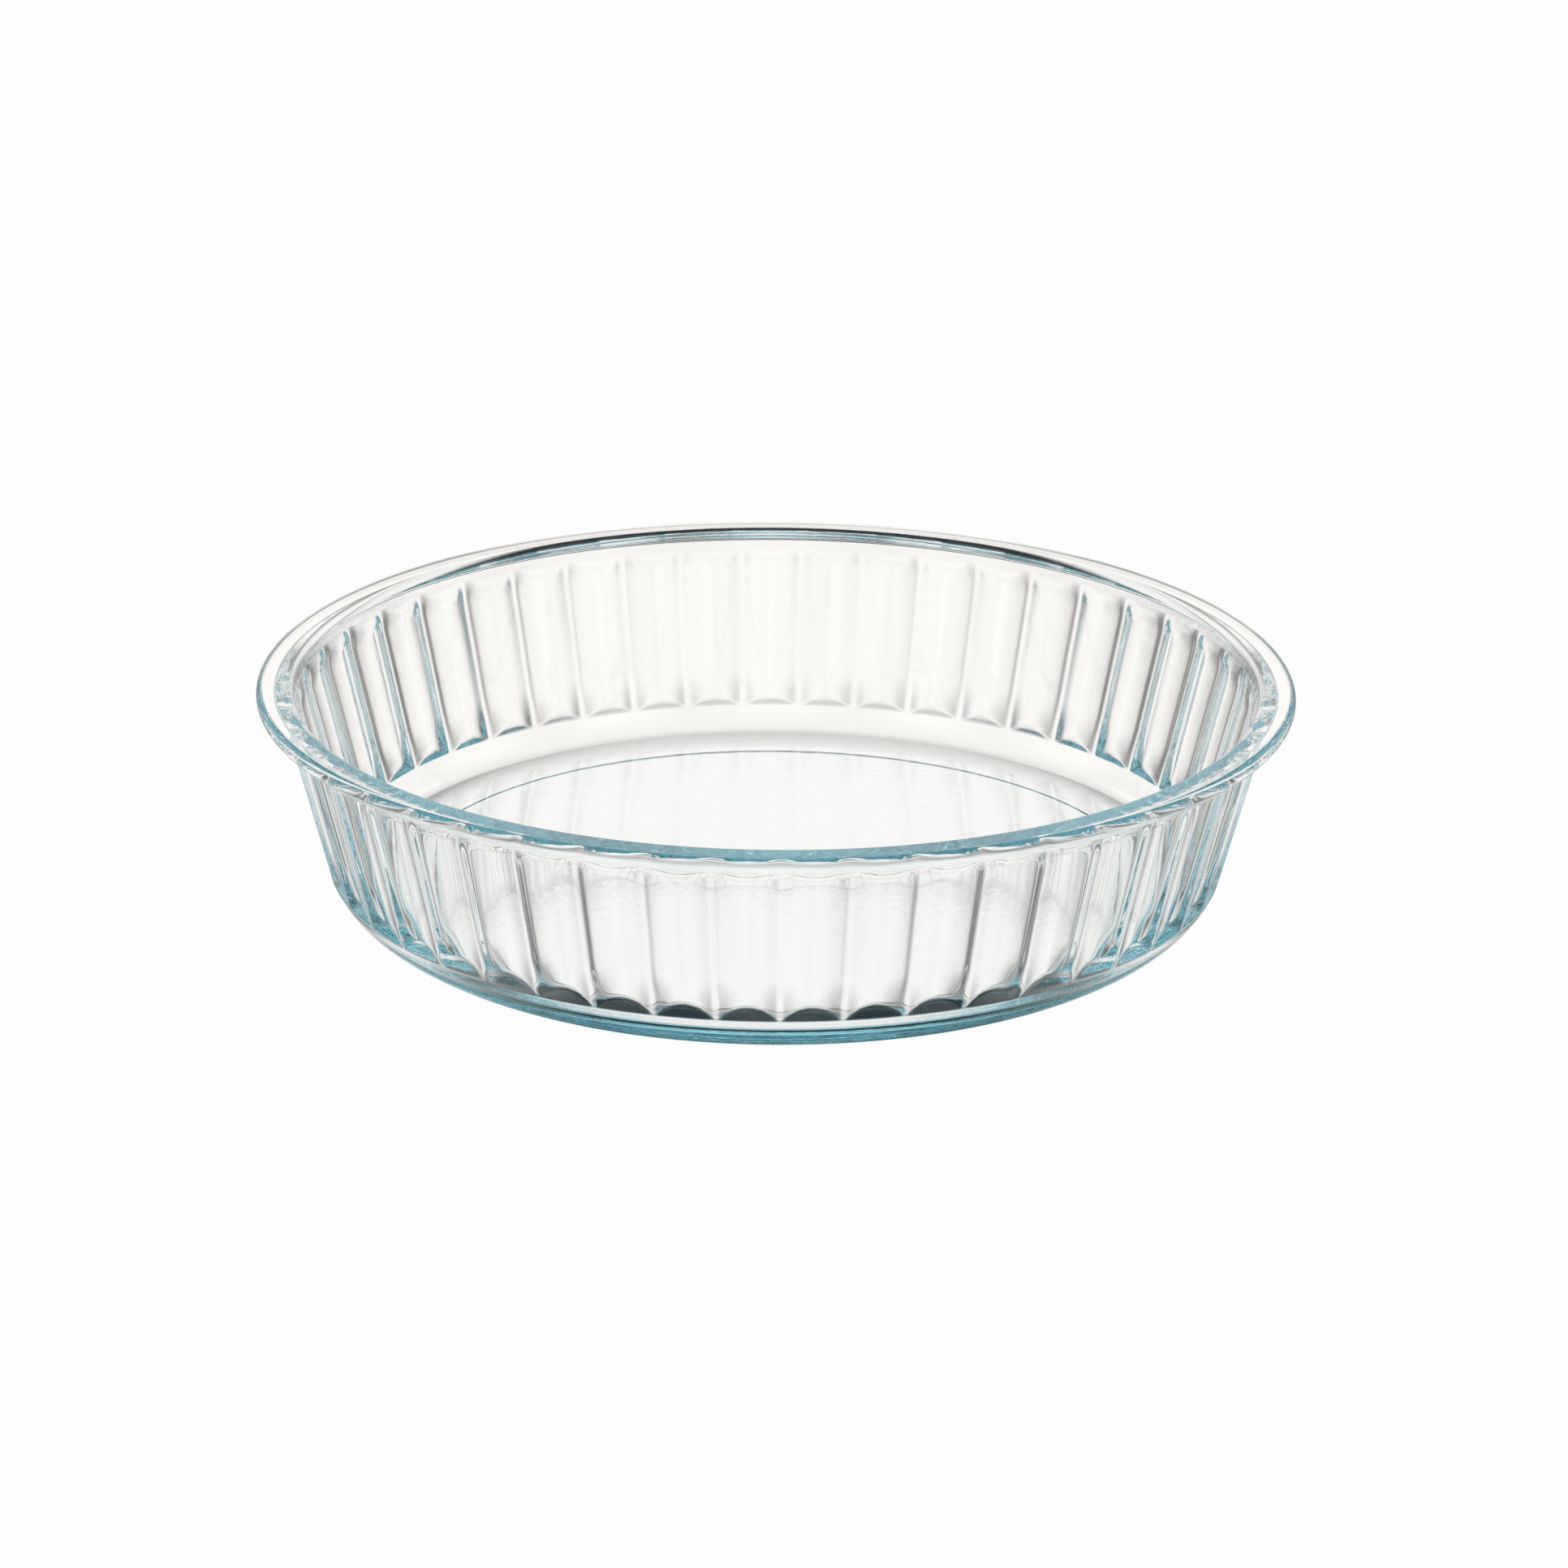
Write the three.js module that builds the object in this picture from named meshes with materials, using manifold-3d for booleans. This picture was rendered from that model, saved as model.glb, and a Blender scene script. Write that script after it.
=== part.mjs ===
// Round fluted baking dish, pressed in one piece from clear glass.
// A fluted mould shapes the outside and a ribbed plunger shapes the inside, so the solid is
// the mould form less the plunger. Millimetres, +Z up, standing on z = 0 with its axis on Z.

import * as THREE from 'three';
import { mergeVertices } from 'three/addons/utils/BufferGeometryUtils.js';
import Module from 'manifold-3d';

// Overall sizes
const RIM_DIAMETER = 260;
const HEIGHT = 58.5;

// Rim: a flat flange with a rounded edge, standing out past the wall
const RIM_OVERHANG = 6.3;
const RIM_THICKNESS = 4;
const RIM_INNER_RADIUS = 1.5;
const FLARE_HEIGHT = 1.6;
const FLARE_RADIUS = 1.5;

// Wall and base
const WALL_LEAN = THREE.MathUtils.degToRad(14.8);
const WALL_THICKNESS = 2.4;
const BASE_THICKNESS = 7.5;
const BASE_CORNER_RADIUS = 18;
const INNER_CORNER_RADIUS = 12;

// Foot: a flat ring round a shallow recess
const FOOT_RING_WIDTH = 1.5;
const FOOT_RECESS = 0.6;

// Flutes: concave hollows between ridges, run out at both ends
const FLUTES = 47;
const FLUTE_DEPTH = 1.75;
const FLUTE_BOTTOM = 11.4;
const BOTTOM_RUN_OUT = 2.6;
const TOP_RUN_OUT = 2;

// Grooves: one on the inside behind each ridge, so that the wall keeps an even thickness
const GROOVE_DEPTH = 1.6;
const GROOVE_ABOVE_FLOOR = 3.5;
const GROOVE_BOTTOM_RUN_OUT = 5;
const GROOVE_TOP_RUN_OUT = 6;

// Facets
const FACETS_PER_FLUTE = 4;
const CHORD_ERROR = 0.15;
const SAME_POINT = 1e-3;

const GLASS_COLOUR = '#dfe9ea';

// Ridge line: the cone that the tops of the ridges lie on
const rimRadius = RIM_DIAMETER / 2;
const rimEdgeRadius = RIM_THICKNESS / 2;
const flangeBottom = HEIGHT - RIM_THICKNESS;
const fluteTop = flangeBottom - FLARE_HEIGHT;
const ridgeTopRadius = rimRadius - RIM_OVERHANG;
const leanSlope = Math.tan(WALL_LEAN);
const ridgeRadius = (z) => ridgeTopRadius - (fluteTop - z) * leanSlope;

// Inside of the wall: parallel to the ridge line, a wall thickness in from the hollows
const wallSpan = FLUTE_DEPTH + WALL_THICKNESS / Math.cos(WALL_LEAN);
const innerRadius = (z) => ridgeRadius(z) - wallSpan;

// Outline through corners [radius, height, rounding], each rounded by a tangent arc
function roundedOutline(corners) {
  const points = [];
  corners.forEach(([r, z, rounding = 0], i) => {
    const corner = new THREE.Vector2(r, z);
    if (rounding === 0) {
      points.push(corner);
      return;
    }
    const before = new THREE.Vector2(...corners[i - 1]).sub(corner).normalize();
    const after = new THREE.Vector2(...corners[i + 1]).sub(corner).normalize();
    const half = Math.acos(before.dot(after)) / 2;
    const middle = before.clone().add(after).normalize();
    const centre = corner.clone().addScaledVector(middle, rounding / Math.sin(half));
    const start = corner.clone().addScaledVector(before, rounding / Math.tan(half)).sub(centre);
    const turn = Math.PI - 2 * half;
    const sense = Math.sign(after.cross(before));
    const facets = Math.ceil(turn / (2 * Math.acos(1 - CHORD_ERROR / rounding)));
    for (let k = 0; k <= facets; k += 1) {
      const angle = (sense * turn * k) / facets;
      points.push(start.clone().rotateAround(new THREE.Vector2(), angle).add(centre));
    }
  });
  return points.filter((point, i) => i === 0 || point.distanceTo(points[i - 1]) > SAME_POINT);
}

// Depth of the hollow between two ridges, at an angle from the ridge at the front and a height
function hollowDepth(angle, z) {
  const pitch = (2 * Math.PI) / FLUTES;
  const fromRidge = THREE.MathUtils.euclideanModulo(angle, pitch);
  const halfWidth = (ridgeRadius(z) * pitch) / 2;
  const across = ((fromRidge / pitch) * 2 - 1) * halfWidth;
  const hollowRadius = (halfWidth ** 2 + FLUTE_DEPTH ** 2) / (2 * FLUTE_DEPTH);
  return FLUTE_DEPTH - hollowRadius + Math.sqrt(hollowRadius ** 2 - across ** 2);
}

// Depth of the flutes below the ridge line
function fluteDepth(angle, z) {
  const atBottom = (FLUTE_DEPTH * (z - FLUTE_BOTTOM)) / BOTTOM_RUN_OUT;
  const atTop = (FLUTE_DEPTH * (fluteTop - z)) / TOP_RUN_OUT;
  return Math.max(0, Math.min(hollowDepth(angle, z), atBottom, atTop));
}

// Move of the inside towards the axis: below zero in the grooves, which follow the hollows of the
// outside and run out above the floor and below the lip. The upper run-out is long enough for the
// bottom of a groove to stand upright there, so the plunger can be drawn.
const grooveBottom = BASE_THICKNESS + GROOVE_ABOVE_FLOOR;
const grooveTop = HEIGHT - RIM_INNER_RADIUS;
function grooveMove(angle, z) {
  const groove = GROOVE_DEPTH * (1 - hollowDepth(angle, z) / FLUTE_DEPTH);
  const atBottom = (GROOVE_DEPTH * (z - grooveBottom)) / GROOVE_BOTTOM_RUN_OUT;
  const atTop = (GROOVE_DEPTH * (grooveTop - z)) / GROOVE_TOP_RUN_OUT;
  return -Math.max(0, Math.min(groove, atBottom, atTop));
}

// LatheGeometry turns about Y: stand it up on Z, with its seam at the front, on -Y.
// Then each point moves towards the axis by a length that varies round and up the wall.
function revolve(points, moveAt) {
  const geometry = new THREE.LatheGeometry(points, FLUTES * FACETS_PER_FLUTE).rotateX(Math.PI / 2);
  const place = geometry.getAttribute('position');
  for (let i = 0; i < place.count; i += 1) {
    const [x, y, z] = [place.getX(i), place.getY(i), place.getZ(i)];
    const radius = Math.hypot(x, y);
    if (radius > SAME_POINT) {
      const scale = 1 - moveAt(Math.atan2(x, -y), z) / radius;
      place.setXY(i, x * scale, y * scale);
    }
  }
  return geometry;
}

function mouldForm() {
  const cornerTop = ridgeRadius(0);
  const tangent = BASE_CORNER_RADIUS * Math.tan((Math.PI / 2 - WALL_LEAN) / 2);
  const footOuter = cornerTop - tangent;
  const footInner = footOuter - FOOT_RING_WIDTH;
  const flareFoot = ridgeTopRadius + FLARE_HEIGHT;
  const cornerEnd = tangent * Math.cos(WALL_LEAN);
  const hollowBottom = Math.max(FLUTE_BOTTOM + BOTTOM_RUN_OUT, cornerEnd);
  const hollowTop = fluteTop - TOP_RUN_OUT;
  const outline = roundedOutline([
    [0, FOOT_RECESS],
    [footInner - FOOT_RECESS, FOOT_RECESS],
    [footInner, 0],
    [cornerTop, 0, BASE_CORNER_RADIUS],
    [ridgeRadius(hollowBottom), hollowBottom],
    [ridgeRadius(hollowTop), hollowTop],
    [ridgeTopRadius, fluteTop],
    [flareFoot, flangeBottom, FLARE_RADIUS],
    [rimRadius, flangeBottom, rimEdgeRadius],
    [rimRadius, HEIGHT, rimEdgeRadius],
    [0, HEIGHT],
  ]);
  return revolve(outline, fluteDepth);
}

function plunger() {
  const above = HEIGHT + RIM_THICKNESS;
  const mouth = innerRadius(HEIGHT) + RIM_INNER_RADIUS * Math.tan((Math.PI / 2 - WALL_LEAN) / 2);
  const grooveRows = [grooveBottom + GROOVE_BOTTOM_RUN_OUT, grooveTop - GROOVE_TOP_RUN_OUT, grooveTop];
  const outline = roundedOutline([
    [0, BASE_THICKNESS],
    [innerRadius(BASE_THICKNESS), BASE_THICKNESS, INNER_CORNER_RADIUS],
    ...grooveRows.map((z) => [innerRadius(z), z]),
    [innerRadius(HEIGHT), HEIGHT, RIM_INNER_RADIUS],
    [mouth + RIM_INNER_RADIUS, HEIGHT],
  ]);
  outline.pop();
  outline.push(new THREE.Vector2(mouth, above), new THREE.Vector2(0, above));
  return revolve(outline, grooveMove);
}

// One closed solid from a geometry whose seams and poles are merged
const wasm = await Module();
wasm.setup();
function solid(geometry) {
  geometry.deleteAttribute('normal');
  geometry.deleteAttribute('uv');
  const merged = mergeVertices(geometry, SAME_POINT);
  return new wasm.Manifold(new wasm.Mesh({
    numProp: 3,
    vertProperties: merged.getAttribute('position').array,
    triVerts: Uint32Array.from(merged.index.array),
  }));
}

function bufferGeometry(body) {
  const mesh = body.getMesh();
  const geometry = new THREE.BufferGeometry();
  geometry.setAttribute('position', new THREE.BufferAttribute(mesh.vertProperties, mesh.numProp));
  geometry.setIndex(new THREE.BufferAttribute(mesh.triVerts, 1));
  geometry.computeVertexNormals();
  return geometry;
}

const pressedGlass = new THREE.MeshStandardMaterial({
  color: GLASS_COLOUR,
  roughness: 0.05,
  metalness: 0,
  transparent: true,
  opacity: 0.35,
});

const dish = new THREE.Mesh(bufferGeometry(solid(mouldForm()).subtract(solid(plunger()))), pressedGlass);
dish.name = 'fluted_dish';

const object = new THREE.Group();
object.name = 'fluted_baking_dish';
object.add(dish);

export default object;
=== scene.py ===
# %% [markdown]
# # A fluted baking dish in clear pressed glass
# The dish is one piece of glass. A gob of melt drops into a fluted mould, and a ribbed plunger presses it
# out to the rim. So the outside carries flutes, the inside has a shallow groove behind each ridge, and
# nothing is joined on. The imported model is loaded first, because every size and place here has to agree
# with it.

import math

import bmesh
import bpy
import numpy as np
from mathutils import Matrix, Vector


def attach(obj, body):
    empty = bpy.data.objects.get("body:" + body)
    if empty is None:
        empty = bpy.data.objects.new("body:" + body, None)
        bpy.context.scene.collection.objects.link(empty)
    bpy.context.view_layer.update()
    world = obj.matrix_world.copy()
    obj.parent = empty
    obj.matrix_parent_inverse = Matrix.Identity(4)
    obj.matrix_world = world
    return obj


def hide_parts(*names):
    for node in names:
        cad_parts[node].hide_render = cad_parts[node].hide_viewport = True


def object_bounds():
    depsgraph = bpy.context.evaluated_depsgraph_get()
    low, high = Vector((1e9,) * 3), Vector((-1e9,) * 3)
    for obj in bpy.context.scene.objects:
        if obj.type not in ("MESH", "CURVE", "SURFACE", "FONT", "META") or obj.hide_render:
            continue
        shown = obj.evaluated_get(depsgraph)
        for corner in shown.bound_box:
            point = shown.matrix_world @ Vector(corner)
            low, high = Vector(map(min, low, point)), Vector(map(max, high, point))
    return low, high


MM = 0.001

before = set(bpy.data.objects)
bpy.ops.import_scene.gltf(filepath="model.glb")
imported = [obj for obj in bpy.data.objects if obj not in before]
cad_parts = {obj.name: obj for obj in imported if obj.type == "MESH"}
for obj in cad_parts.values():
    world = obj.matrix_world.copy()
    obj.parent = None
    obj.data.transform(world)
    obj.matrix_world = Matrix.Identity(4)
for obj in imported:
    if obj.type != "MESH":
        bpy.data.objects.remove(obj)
cad_low, cad_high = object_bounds()
box = (cad_high - cad_low) / MM
print("packed box, mm:", [round(side, 1) for side in box])

# %% [markdown]
# ## Sizes
# The rim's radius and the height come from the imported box. The others are sizes of the dish in
# millimetres, as a mould maker would give them. Radius `r` and height `z` describe a half section. The
# ridges of the wall lie on a cone. The inside is a parallel cone, so the wall keeps its thickness from
# the rim down to the base.

# %% Rim and ridges
BOX_DIGITS = 3
RIM_RADIUS = round(box[0] / 2, BOX_DIGITS)
HEIGHT = round(box[2], BOX_DIGITS)
RIM_OVERHANG = 6.3
RIM_THICKNESS = 4.0
FLARE_HEIGHT = 1.6
WALL_LEAN = math.radians(14.8)

flange_bottom = HEIGHT - RIM_THICKNESS
flute_top = flange_bottom - FLARE_HEIGHT
ridge_top_radius = RIM_RADIUS - RIM_OVERHANG


def ridge_radius(z):
    return ridge_top_radius - (flute_top - z) * math.tan(WALL_LEAN)


print("rim and ridges, radius in mm:", RIM_RADIUS, round(ridge_top_radius, 1))

# %% Inside of the wall
FLUTES = 47
PITCH = 2 * math.pi / FLUTES
HOLLOW_RADIUS = 17.7
WALL_THICKNESS = 2.3

middle_half_width = ridge_radius(HEIGHT / 2) * PITCH / 2
full_depth = HOLLOW_RADIUS - math.sqrt(HOLLOW_RADIUS**2 - middle_half_width**2)
wall_span = full_depth + WALL_THICKNESS / math.cos(WALL_LEAN)


def inner_radius(z):
    return ridge_radius(z) - wall_span


print("from the ridges to the inside, mm:", round(wall_span, 2))

# %% [markdown]
# ## Half section
# Pressed glass has no sharp corner, because the melt draws itself round at every edge. A turned form
# needs one outline, from the centre of the underside round the rim to the centre of the floor. It could
# be a curve drawn by hand, but then its sizes couldn't be read or changed. So each corner is given with
# its rounding, and is replaced by an arc that is tangent to both its sides.

# %% Rounded outline
ARC_STEP = math.radians(4)
FEWEST_STEPS = 2


def rounded_outline(corners):
    points = []
    for i, (r, z, rounding) in enumerate(corners):
        corner = Vector((r, z))
        if rounding == 0:
            points.append(corner)
            continue
        before = (Vector(corners[i - 1][:2]) - corner).normalized()
        after = (Vector(corners[i + 1][:2]) - corner).normalized()
        half = before.angle(after) / 2
        centre = corner + (before + after).normalized() * (rounding / math.sin(half))
        start = corner + before * (rounding / math.tan(half)) - centre
        turn = (math.pi - 2 * half) * (1 if before.cross(after) < 0 else -1)
        steps = max(FEWEST_STEPS, math.ceil(abs(turn) / ARC_STEP))
        for k in range(steps + 1):
            points.append(centre + Matrix.Rotation(turn * k / steps, 2) @ start)
    return points


print("an arc has a point every", round(math.degrees(ARC_STEP)), "degrees")

# %% Outline of the dish
FOOT_RING_WIDTH = 1.5
FOOT_RECESS = 0.6
FOOT_ROUNDING = 0.5
RECESS_SLOPE = 1.0
BASE_CORNER_RADIUS = 18.0
FLARE_RADIUS = 1.0
RIM_INNER_RADIUS = 2.4
# A gap this small keeps the two arcs of the rim's edge from ending on the same point
ARC_GAP = 0.001
LOWER_WALL_LEAN = math.radians(28)
LOWER_WALL_TOP = 14.0
LOWER_WALL_BEND = 12.0
BASE_THICKNESS = 7.0
INNER_CORNER_RADIUS = 4.0

corner_tangent = BASE_CORNER_RADIUS * math.tan((math.pi / 2 - WALL_LEAN) / 2)
foot_outer = ridge_radius(0) - corner_tangent
foot_inner = foot_outer - FOOT_RING_WIDTH
flare_foot = ridge_top_radius + FLARE_HEIGHT
lower_wall_height = LOWER_WALL_TOP - BASE_THICKNESS
floor_radius = inner_radius(LOWER_WALL_TOP) - lower_wall_height * math.tan(LOWER_WALL_LEAN)
outline = rounded_outline([
    (0, FOOT_RECESS, 0),
    (foot_inner - RECESS_SLOPE, FOOT_RECESS, FOOT_ROUNDING),
    (foot_inner, 0, FOOT_ROUNDING),
    (ridge_radius(0), 0, BASE_CORNER_RADIUS),
    (ridge_top_radius, flute_top, 0),
    (flare_foot, flange_bottom, FLARE_RADIUS),
    (RIM_RADIUS, flange_bottom, RIM_THICKNESS / 2),
    (RIM_RADIUS, HEIGHT, RIM_THICKNESS / 2 - ARC_GAP),
    (inner_radius(HEIGHT), HEIGHT, RIM_INNER_RADIUS),
    (inner_radius(LOWER_WALL_TOP), LOWER_WALL_TOP, LOWER_WALL_BEND),
    (floor_radius, BASE_THICKNESS, INNER_CORNER_RADIUS),
    (0, BASE_THICKNESS, 0),
])
print("points of the outline:", len(outline))

# %% [markdown]
# ## Rows
# Every row of the mesh is a ring round the axis. A fine step all the way would do, but most of its points
# would lie on plain surfaces. So the rows lie close only where the flutes end, on the shoulder above the
# foot and on the flare under the rim, where the light bends most.

# %% Rows of the mesh, with steps in millimetres
SHOULDER_Z = 11.4
SHOULDER_MARGIN = 2
SHOULDER_END = 17
FLARE_START = 48
WALL_MARGIN = 3
FINE_STEP = 0.25
WALL_STEP = 1.5
PLAIN_STEP = 4.0
SAME_POINT = 1e-4


def row_step(a, b):
    z = (a.y + b.y) / 2
    on_wall = (a.x + b.x) / 2 > inner_radius(z) - WALL_MARGIN and z > SHOULDER_Z - SHOULDER_MARGIN
    if on_wall and (z < SHOULDER_END or FLARE_START < z < flange_bottom):
        return FINE_STEP
    return WALL_STEP if on_wall else PLAIN_STEP


rows = [outline[0]]
for a, b in zip(outline, outline[1:]):
    gap = (b - a).length
    if gap > SAME_POINT:
        count = math.ceil(gap / row_step(a, b))
        rows += [a.lerp(b, k / count) for k in range(1, count + 1)]
print("rows:", len(rows))

# %% [markdown]
# ## Flutes
# Each flute is a hollow with a round section, and its neighbour starts at the ridge between them. The
# hollow ends below on a shoulder and above on the flare under the rim. A cutter for each hollow and a
# boolean would give the same form, but their seams show under smooth shading. So the depth is a formula
# of the turn round the axis and the height, and it eases the creases as the melt does in the mould.

# %% Depth of the flutes
CREST_ROUNDING = 1.0
SHOULDER_SLOPE = 0.54
FLARE_SLOPE = 0.7
CREASE_FILLET = 0.25
EDGE_ROUNDING = 0.12


def smooth_min(a, b, width):
    near = np.maximum(width - np.abs(a - b), 0) / width
    return np.minimum(a, b) - near**2 * width / 4


def flute_depth(turn, z):
    half_width = ridge_radius(z) * PITCH / 2
    from_ridge = half_width * (1 - np.abs(2 * (turn / PITCH % 1) - 1))
    eased = np.sqrt(from_ridge**2 + CREST_ROUNDING**2) - CREST_ROUNDING
    edge = np.sqrt(HOLLOW_RADIUS**2 - half_width**2)
    hollow = np.sqrt(HOLLOW_RADIUS**2 - (half_width - eased) ** 2) - edge
    shoulder = (z - SHOULDER_Z) * SHOULDER_SLOPE
    flare = (flute_top - z) * FLARE_SLOPE
    depth = smooth_min(smooth_min(hollow, shoulder, CREASE_FILLET), flare, CREASE_FILLET)
    return -smooth_min(-depth, 0 * depth, EDGE_ROUNDING) * (depth > -EDGE_ROUNDING)


print("flute half way up, mm deep:", round(float(flute_depth(PITCH / 2, HEIGHT / 2)), 2))

# %% [markdown]
# ## Grooves
# Each rib of the plunger leaves a groove on the inside, behind a ridge. It is deepest along its middle
# and fades out gently above the corner of the floor and again below the lip. The ridges then look banded,
# because light that crosses the wall there passes two curved faces. A formula serves here too, for the
# same reason.

# %% Depth of the grooves
GROOVE_DEPTH = 0.8
GROOVE_ROUNDING = 0.08
GROOVE_BOTTOM = 14.0
GROOVE_FOOT_RUN = 10.0
GROOVE_TOP = 53.5
GROOVE_HEAD_RUN = 5.0


def eased_step(share):
    share = np.clip(share, 0, 1)
    return share**2 * (3 - 2 * share)


def groove_depth(turn, z):
    aside = 2 * np.abs((turn / PITCH + 0.5) % 1 - 0.5)
    aside = np.sqrt(aside**2 + GROOVE_ROUNDING**2) - GROOVE_ROUNDING
    foot = eased_step((z - GROOVE_BOTTOM) / GROOVE_FOOT_RUN)
    head = eased_step((GROOVE_TOP - z) / GROOVE_HEAD_RUN)
    return GROOVE_DEPTH * (1 - aside) ** 2 * foot * head


print("groove half way up, mm deep:", round(float(groove_depth(0, HEIGHT / 2)), 2))

# %% [markdown]
# ## Mesh
# The outline turns about the axis, and each point of the wall moves in by the depth of its flute, or out
# by the depth of its groove. Blender's Screw modifier turns an outline too, but it can't move each point.
# So the points are one grid, with more of them near the ridges, where the surface turns fastest.

# %% Turns round the axis
STEPS = 24
RIDGE_BIAS = 0.6

step_share = np.arange(STEPS) / STEPS
biased = step_share - RIDGE_BIAS * np.sin(2 * np.pi * step_share) / (2 * np.pi)
turns = ((np.arange(FLUTES)[:, None] + biased) * PITCH).ravel()
print("points in a row:", len(turns))

# %% Points of the glass
RIDGE_MARGIN = 0.5
FLARE_MARGIN = 1
TOP_MARGIN = 0.01

section = np.array([(p.x, p.y) for p in rows])
r, z = section[1:-1, :1], section[1:-1, 1:]
on_outside = (r > ridge_radius(z) - RIDGE_MARGIN) & (z > SHOULDER_Z - SHOULDER_MARGIN)
on_outside = on_outside & (z < flute_top + FLARE_MARGIN)
top_row = np.flatnonzero(section[:, 1] > HEIGHT - TOP_MARGIN)[-1]
on_inside = (np.arange(len(r))[:, None] > top_row) & (z > GROOVE_BOTTOM) & (z < GROOVE_TOP)
reach = r - np.where(on_outside, flute_depth(turns[None, :], z), 0)
reach = reach + np.where(on_inside, groove_depth(turns[None, :], z), 0)
grid = np.stack([reach * np.sin(turns), -reach * np.cos(turns), np.broadcast_to(z, reach.shape)], -1)
centres = [(0, 0, section[0, 1]), (0, 0, section[-1, 1])]
points = np.vstack([grid.reshape(-1, 3), centres]) * MM
print("points:", len(points))

# %% Faces of the glass
down, around = reach.shape
index = np.arange(down * around).reshape(down, around)
beside = np.roll(index, -1, axis=1)
quads = np.stack([index[:-1], beside[:-1], beside[1:], index[1:]], -1).reshape(-1, 4)
under_centre, floor_centre = down * around, down * around + 1
caps = [(under_centre, int(b), int(a)) for a, b in zip(index[0], beside[0])]
caps += [(floor_centre, int(a), int(b)) for a, b in zip(index[-1], beside[-1])]
mesh = bpy.data.meshes.new("fluted_dish_glass")
mesh.from_pydata(points.tolist(), [], quads.tolist() + caps)
mesh.shade_smooth()
print("faces:", len(mesh.polygons))

# %% [markdown]
# ## Dish
# The fine glass stands for the imported dish, which is hidden here and stays in the simulation for
# collision.
# It rides on the only body.

# %% Dish
dish = bpy.data.objects.new("fluted_dish_glass", mesh)
bpy.context.scene.collection.objects.link(dish)
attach(dish, "root")
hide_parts("fluted_dish")
print("dish:", dish.name)

# %% [markdown]
# ## Colours and nodes
# A colour is written as a screen shows it, in sRGB, and a shader works in linear light, so one function
# turns the first into the second. One more adds a node, sets it up, and links each input that is another
# node's output. An input goes by its name, or by its number where that is shorter: in a Map Range node, 0
# is the value, 1 and 2 are the ends of its range, and 3 and 4 are what those ends become.

# %% Helpers for materials
def linear(hex_colour):
    parts = [int(hex_colour[i : i + 2], 16) / 255 for i in (1, 3, 5)]
    return [p / 12.92 if p <= 0.04045 else ((p + 0.055) / 1.055) ** 2.4 for p in parts] + [1]


def add(tree, kind, inputs=None, **settings):
    made = tree.nodes.new(kind)
    for name, value in settings.items():
        setattr(made, name, value)
    for socket, value in (inputs or {}).items():
        if isinstance(value, bpy.types.NodeSocket):
            tree.links.new(value, made.inputs[socket])
        else:
            made.inputs[socket].default_value = value
    return made


print("mid grey in linear light:", round(linear("#808080")[0], 3))

# %% [markdown]
# ## Glass
# Soda-lime glass is clear, with a faint blue-green tint from traces of iron. The tint is in the depth of
# the glass and not on its face: through the thin wall the glass looks colourless, and along the rim and
# the foot, where light runs a long way inside, it turns teal. So the colour is an absorbing volume. A
# tinted surface would be simpler, and would colour the wall and the foot alike.
#
# A pressed face keeps a slight waviness, drawn out upwards as the plunger leaves, and fire polishing then
# melts it smooth. The eye gets sharp reflections that waver a little, so the roughness is nil and a low,
# stretched noise bends the surface. Real waves are some hundredths of a millimetre high.

# %% Pressed soda-lime glass
ABSORB_DENSITY = 4.5
ABSORB_COLOUR = "#00e5f9"
GLASS_IOR = 1.5
SKIN_WAVE = 4 * MM
SKIN_STRETCH = 0.2
SKIN_HEIGHT = 0.03 * MM
SKIN_DETAIL = 2.0

glass = bpy.data.materials.new("pressed_clear_glass")
glass.use_nodes = True
tree = glass.node_tree
tree.nodes.clear()
place = add(tree, "ShaderNodeTexCoord").outputs["Object"]
drawn = add(tree, "ShaderNodeMapping", {"Vector": place, "Scale": (1, 1, SKIN_STRETCH)}).outputs[0]
waves = add(tree, "ShaderNodeTexNoise",
            {"Vector": drawn, "Scale": 1 / SKIN_WAVE, "Detail": SKIN_DETAIL}).outputs[0]
skin = add(tree, "ShaderNodeBump", {"Height": waves, "Strength": 1.0, "Distance": SKIN_HEIGHT}).outputs[0]
body = add(tree, "ShaderNodeBsdfPrincipled", {
    "Base Color": linear("#ffffff"),
    "Roughness": 0.0,
    "IOR": GLASS_IOR,
    "Transmission Weight": 1.0,
    "Normal": skin,
}).outputs[0]
absorb = add(tree, "ShaderNodeVolumeAbsorption",
             {"Color": linear(ABSORB_COLOUR), "Density": ABSORB_DENSITY}).outputs[0]
add(tree, "ShaderNodeOutputMaterial", {"Surface": body, "Volume": absorb})
mesh.materials.append(glass)
print("glass:", glass.name)

# %% [markdown]
# ## Floor
# The dish stands on plain white paper. A disc that reaches past the view on every side is enough, because
# the paper and the room behind it are both white. It lies a little below the foot, so the two faces never
# fight.

# %% Sheet of paper
FLOOR_RADIUS = 3.0
FLOOR_SEGMENTS = 64
FLOOR_GAP = 0.2 * MM

floor_mesh = bpy.data.meshes.new("floor")
shape = bmesh.new()
bmesh.ops.create_circle(shape, cap_ends=True, segments=FLOOR_SEGMENTS, radius=FLOOR_RADIUS)
shape.to_mesh(floor_mesh)
shape.free()
floor = bpy.data.objects.new("floor", floor_mesh)
floor.location.z = -FLOOR_GAP
bpy.context.scene.collection.objects.link(floor)
print("floor radius, m:", FLOOR_RADIUS)
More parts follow.
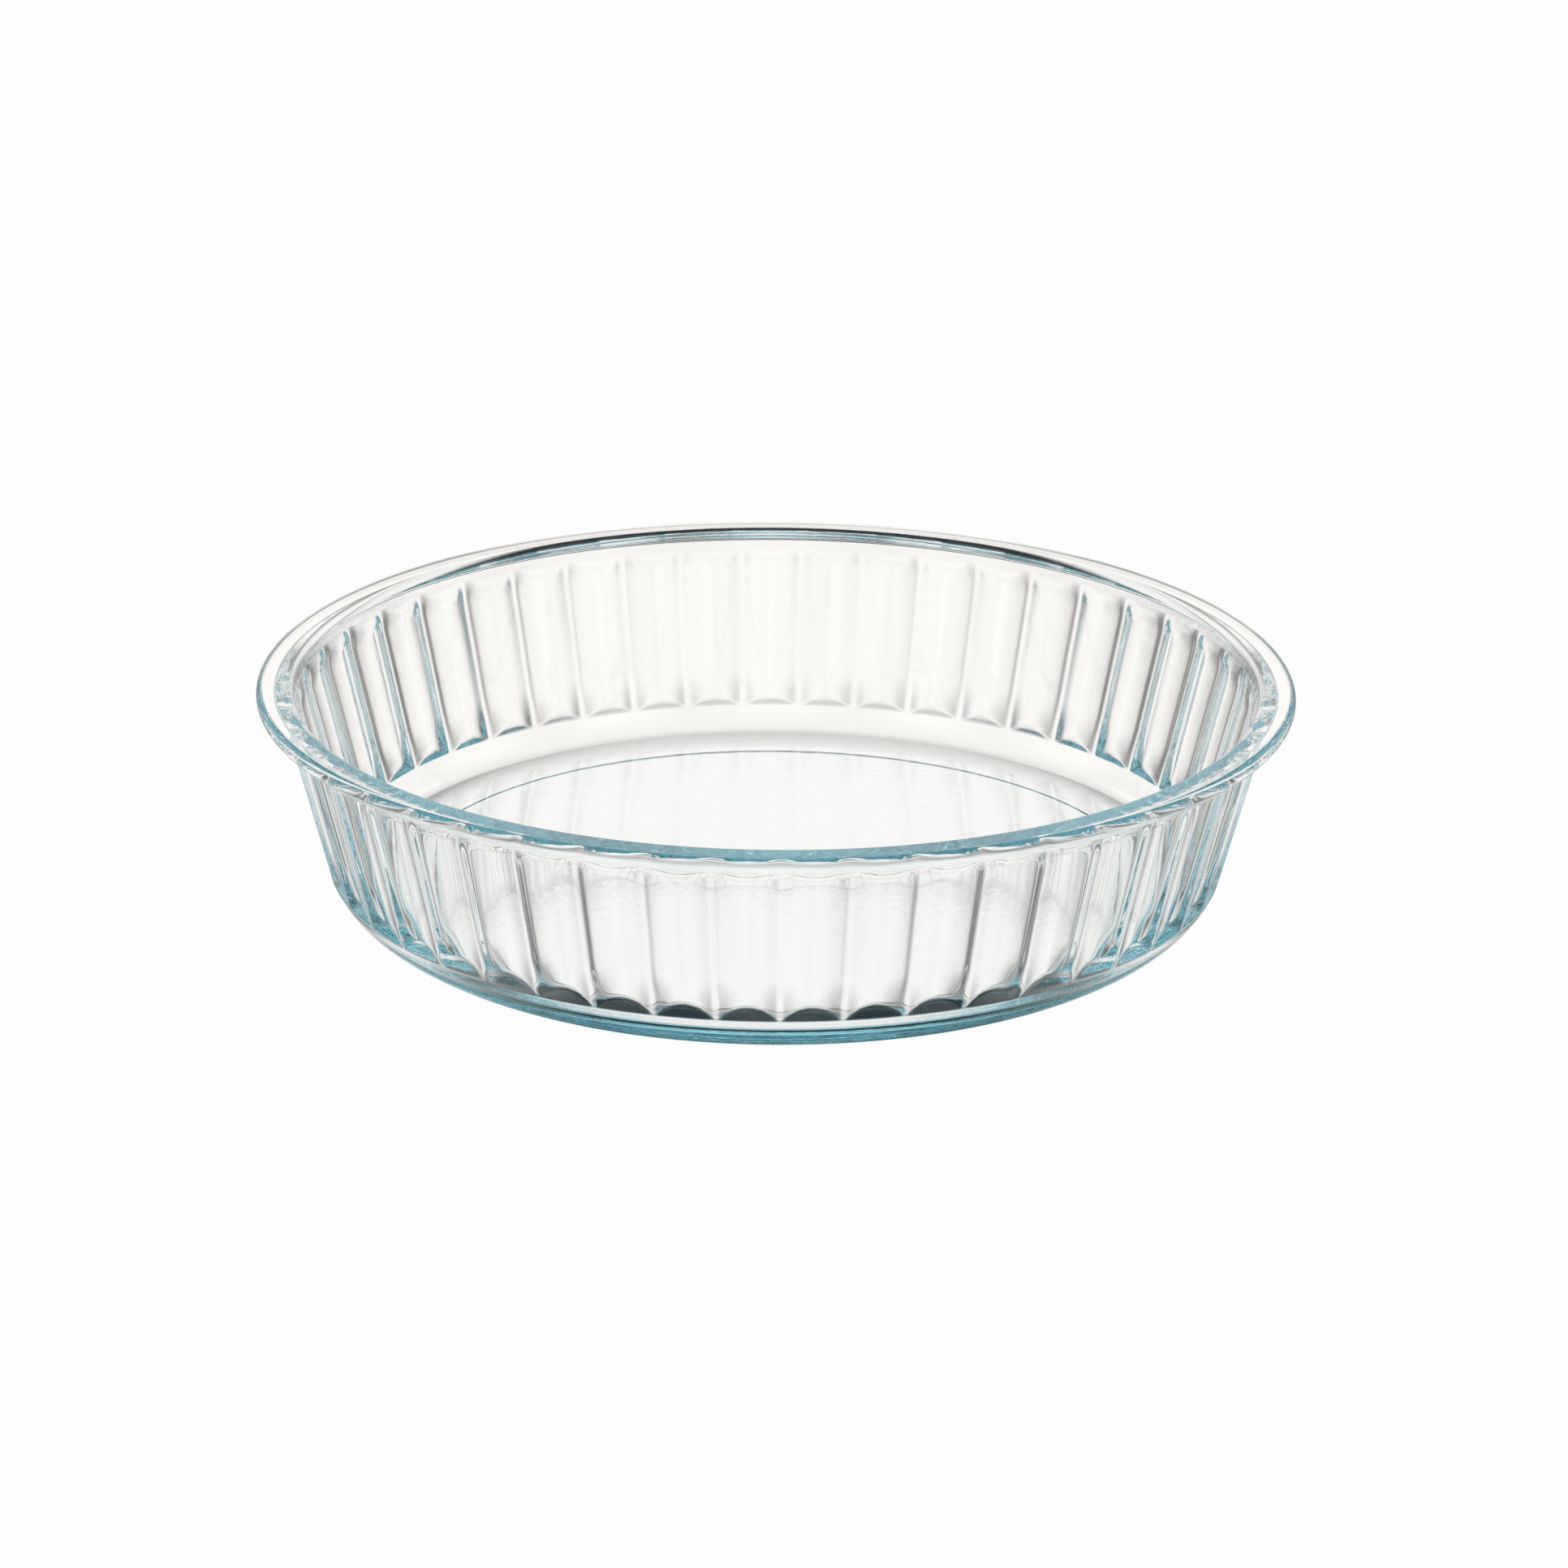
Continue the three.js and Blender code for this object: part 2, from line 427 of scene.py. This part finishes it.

# %% [markdown]
# ## Paper
# The paper lies over a light table. The camera sees it white, and the glass sees through it to the table's
# light, so steep and level views through the glass differ as they do over a real table. Under the overhang
# of the front corner little light would arrive, so an arc of painted shade lies there, at the front only:
# a dark glow on the paper that only rays from the glass see, and the lower front wall shows it as dark
# crescents. The paper could be a plain white surface, but then the corner of the glass would have no dark
# edge at all.

# %% Arc of painted shade in front of the foot
PAINTED_SHADE = 0.015
SHADE_START = 95 * MM
SHADE_FULL = 99 * MM
SHADE_FADE = 110 * MM
SHADE_END = 124 * MM
SHADE_FRONT = -98 * MM
SHADE_BACK = -60 * MM

paper = bpy.data.materials.new("matt_white_paper")
paper.use_nodes = True
tree = paper.node_tree
tree.nodes.clear()
place = add(tree, "ShaderNodeNewGeometry").outputs["Position"]
flat = add(tree, "ShaderNodeVectorMath", {0: place, 1: (1, 1, 0)}, operation="MULTIPLY").outputs[0]
from_axis = add(tree, "ShaderNodeVectorMath", {0: flat}, operation="LENGTH").outputs["Value"]
along = add(tree, "ShaderNodeSeparateXYZ", {0: place}).outputs["Y"]
arc = add(tree, "ShaderNodeMapRange", {0: from_axis, 1: SHADE_START, 2: SHADE_FULL},
          interpolation_type="SMOOTHSTEP").outputs[0]
for where, start, end in ((from_axis, SHADE_FADE, SHADE_END), (along, SHADE_FRONT, SHADE_BACK)):
    fade = add(tree, "ShaderNodeMapRange", {0: where, 1: start, 2: end, 3: 1.0, 4: 0.0},
               interpolation_type="SMOOTHSTEP").outputs[0]
    arc = add(tree, "ShaderNodeMath", {0: arc, 1: fade}, operation="MULTIPLY").outputs[0]
clear = add(tree, "ShaderNodeBsdfTransparent").outputs[0]
# painted shade: a dark glow laid on the paper where the corner's shadow would fall, seen only through the
# glass
shade = add(tree, "ShaderNodeEmission", {"Strength": PAINTED_SHADE}).outputs[0]
through = add(tree, "ShaderNodeMixShader", {0: arc, 1: clear, 2: shade}).outputs[0]
print("shade from the axis, mm:", SHADE_START / MM, "to", SHADE_END / MM)

# %% Matt white paper
PAPER_SHARE = 0.015
PAPER_COLOUR = "#f0f0f0"

path = add(tree, "ShaderNodeLightPath").outputs
matt = add(tree, "ShaderNodeBsdfDiffuse", {"Color": linear(PAPER_COLOUR)}).outputs[0]
white = add(tree, "ShaderNodeEmission", {"Strength": 1.0}).outputs[0]
seen = add(tree, "ShaderNodeMath", {0: path["Is Camera Ray"], 1: 1 - PAPER_SHARE},
           operation="MULTIPLY").outputs[0]
direct = add(tree, "ShaderNodeMixShader", {0: seen, 1: matt, 2: white}).outputs[0]
glassy = add(tree, "ShaderNodeMath", {0: path["Is Glossy Ray"], 1: path["Is Transmission Ray"]},
             operation="MAXIMUM").outputs[0]
surface = add(tree, "ShaderNodeMixShader", {0: glassy, 1: direct, 2: through}).outputs[0]
add(tree, "ShaderNodeOutputMaterial", {"Surface": surface})
floor_mesh.materials.append(paper)
print("paper:", paper.name)

# %% [markdown]
# ## Light
# Clear glass shows only what stands round it. In an all-white room its edges vanish, so a photographer
# sets white boards with dark gaps between them, under a dark ceiling. Where the glass is flat it shows a
# board, and where an edge bends the light aside it shows a gap and turns grey or black. Eight boards
# stand in a ring, so the dish looks alike from eight sides, and darker between two boards. Lamps would do
# it too, but a world of soft zones has no noise.

# %% Boards in a ring
BOARDS = 8
BOARD_CLEAR = math.radians(4.5)
BETWEEN_BOARDS = 0.2

world = bpy.data.worlds.new("studio")
bpy.context.scene.world = world
world.use_nodes = True
tree = world.node_tree
tree.nodes.clear()
sky = add(tree, "ShaderNodeTexCoord").outputs["Generated"]
sky = add(tree, "ShaderNodeSeparateXYZ", {0: sky}).outputs
aside = add(tree, "ShaderNodeMath", {0: sky["X"], 1: sky["Y"]}, operation="ARCTAN2").outputs[0]
aside = add(tree, "ShaderNodeMath", {0: aside, 1: math.pi / BOARDS}, operation="PINGPONG").outputs[0]
boards = add(tree, "ShaderNodeMapRange",
             {0: aside, 1: BOARD_CLEAR, 2: math.pi / BOARDS, 3: 1.0, 4: BETWEEN_BOARDS},
             interpolation_type="SMOOTHSTEP").outputs[0]
print("boards:", BOARDS, "each", 360 / BOARDS, "degrees apart")

# %% [markdown]
# Upwards the boards end at the dark ceiling. Downwards the light table shows: it grows dimmer as the view
# gets steeper, and bright again straight below. To the camera itself the room is plain white.

# %% Ceiling and table
CEILING_START = math.radians(34)
CEILING_FULL = math.radians(44)
CEILING = 0.02
TABLE_CLEAR = math.radians(-22)
TABLE_STEEP = math.radians(-55)
TABLE_STEEP_LIGHT = 0.6
NADIR_START = math.radians(-46)
NADIR_FULL = math.radians(-60)
ROOM_COLOUR = "#fffcf9"

rise = add(tree, "ShaderNodeMath", {0: sky["Z"]}, operation="ARCSINE").outputs[0]
ceiling = add(tree, "ShaderNodeMapRange", {0: rise, 1: CEILING_START, 2: CEILING_FULL, 3: 1.0, 4: 0.0},
              interpolation_type="SMOOTHSTEP").outputs[0]
table = add(tree, "ShaderNodeMapRange",
            {0: rise, 1: TABLE_STEEP, 2: TABLE_CLEAR, 3: TABLE_STEEP_LIGHT, 4: 1.0},
            interpolation_type="SMOOTHSTEP").outputs[0]
nadir = add(tree, "ShaderNodeMapRange", {0: rise, 1: NADIR_FULL, 2: NADIR_START, 3: 1.0, 4: 0.0},
            interpolation_type="SMOOTHSTEP").outputs[0]
to_camera = add(tree, "ShaderNodeLightPath").outputs["Is Camera Ray"]
light = boards
for share in (ceiling, table):
    light = add(tree, "ShaderNodeMath", {0: light, 1: share}, operation="MULTIPLY").outputs[0]
for least in (nadir, CEILING, to_camera):
    light = add(tree, "ShaderNodeMath", {0: light, 1: least}, operation="MAXIMUM").outputs[0]
room = add(tree, "ShaderNodeBackground", {"Color": linear(ROOM_COLOUR), "Strength": light}).outputs[0]
add(tree, "ShaderNodeOutputWorld", {"Surface": room})
print("world nodes:", len(tree.nodes))

# %% [markdown]
# ## Camera
# A long lens looks down at the dish from about 20 degrees. The ellipses of the rim and of the foot give
# the height and the distance, and the cusps of the flutes give the turn. A shift of the lens, rather than
# a turned camera, puts the dish where the photograph has it.

# %% Camera at the photograph's angle
IMAGE_SIDE = 1932
FOCAL_PIXELS = 7819
SENSOR = 36.0
DISTANCE = 1.6
AIM = Vector((0, 0, 0.030))
AIM_PIXEL_X = 955.3
ELEVATION = math.radians(20.1)
AZIMUTH = math.radians(0.75)
ROLL = 0.008
CLIP_END = 100

camera_data = bpy.data.cameras.new("camera")
camera_data.sensor_width = SENSOR
camera_data.lens = SENSOR * FOCAL_PIXELS / IMAGE_SIDE
camera_data.shift_x = (IMAGE_SIDE / 2 - AIM_PIXEL_X) / IMAGE_SIDE
camera_data.clip_end = CLIP_END
camera = bpy.data.objects.new("camera", camera_data)
bpy.context.scene.collection.objects.link(camera)
facing = Matrix.Rotation(-AZIMUTH, 4, "Z") @ Matrix.Rotation(math.pi / 2 - ELEVATION, 4, "X")
camera.matrix_world = (
    Matrix.Translation(AIM) @ facing @ Matrix.Translation((0, 0, DISTANCE)) @ Matrix.Rotation(ROLL, 4, "Z")
)
bpy.context.scene.camera = camera
print("lens, mm:", round(camera_data.lens, 1))

# %% [markdown]
# ## Rendering
# Light is caught in a glass rim and bounces many times before it leaves, so the limits on bounces go up:
# cut short, such paths would turn black. The plain view transform shows each colour about as it is
# written.

# %% Bounces and view
GLASS_BOUNCES = 40

bpy.context.scene.view_settings.view_transform = "Standard"
cycles = bpy.context.scene.cycles
cycles.max_bounces = GLASS_BOUNCES
cycles.glossy_bounces = GLASS_BOUNCES
cycles.transmission_bounces = GLASS_BOUNCES
print("bounces:", cycles.max_bounces)
